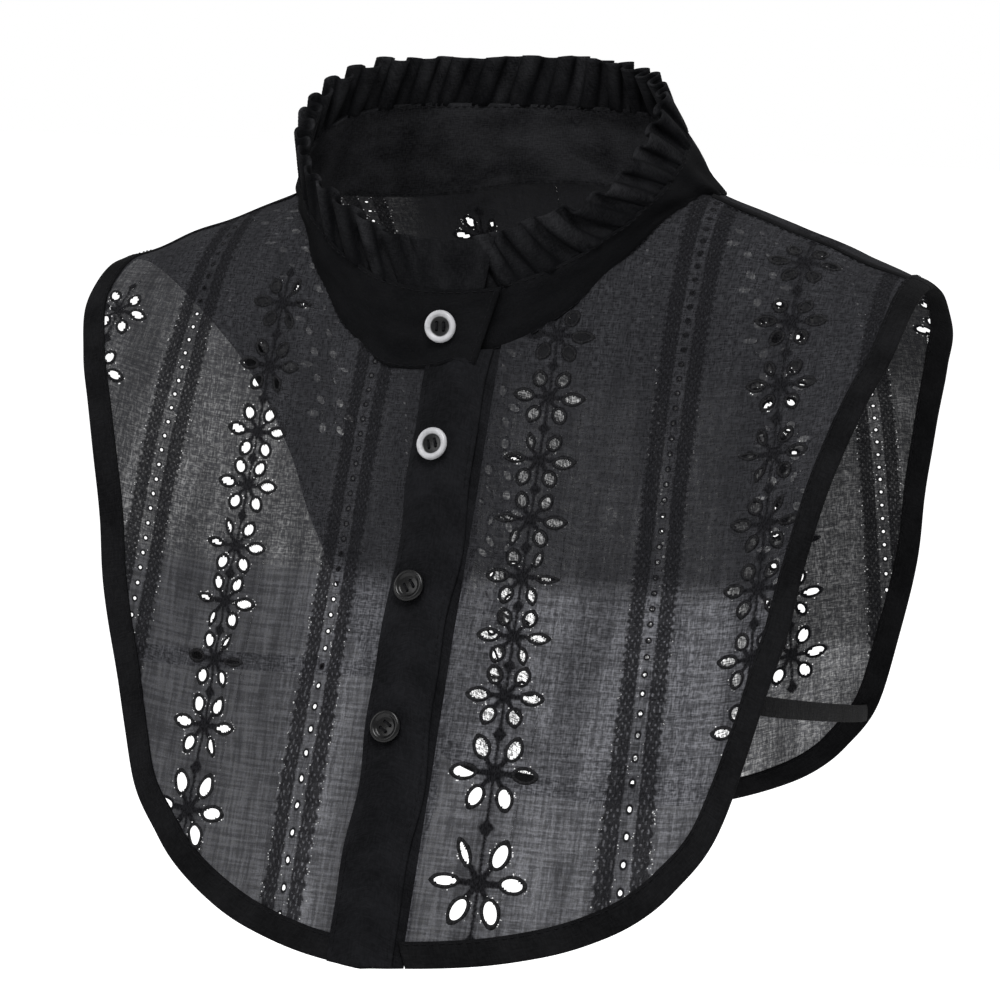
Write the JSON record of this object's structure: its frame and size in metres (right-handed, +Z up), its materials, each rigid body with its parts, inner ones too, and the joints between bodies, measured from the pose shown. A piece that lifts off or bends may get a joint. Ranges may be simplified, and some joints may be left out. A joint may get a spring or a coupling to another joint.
{
  "type": "detachable collar",
  "caption": "Sheer black embroidered bib collar with a buttoned placket, a stand collar, a gathered frill and side elastics.",
  "frame": {"origin": "middle of the neck, near the level of the base of the stand collar, where the collar sits when worn", "axes": "+Z up along the neck, -Y the way the wearer faces, +X the wearer's left"},
  "size_m": [0.2948, 0.2617, 0.2857],
  "materials": {
    "black_voile": "sheer embroidered voile",
    "black_cotton": "plain matte cotton",
    "black_binding": "matte folded tape",
    "black_elastic": "flat woven elastic",
    "pale_button": "silvery grey gloss",
    "black_button": "black gloss"
  },
  "bodies": {
    "root": {"front_right": "black_voile", "front_left": "black_voile", "back": "black_voile", "binding_front_right": "black_binding", "binding_front_left": "black_binding", "binding_back": "black_binding", "placket_over": "black_cotton", "placket_under": "black_cotton", "collar_stand": "black_cotton", "neck_frill": "black_cotton", "button_1": "pale_button", "button_2": "pale_button", "button_3": "black_button", "button_4": "black_button", "strap_left": "black_elastic", "strap_right": "black_elastic"}
  },
  "joints": []
}
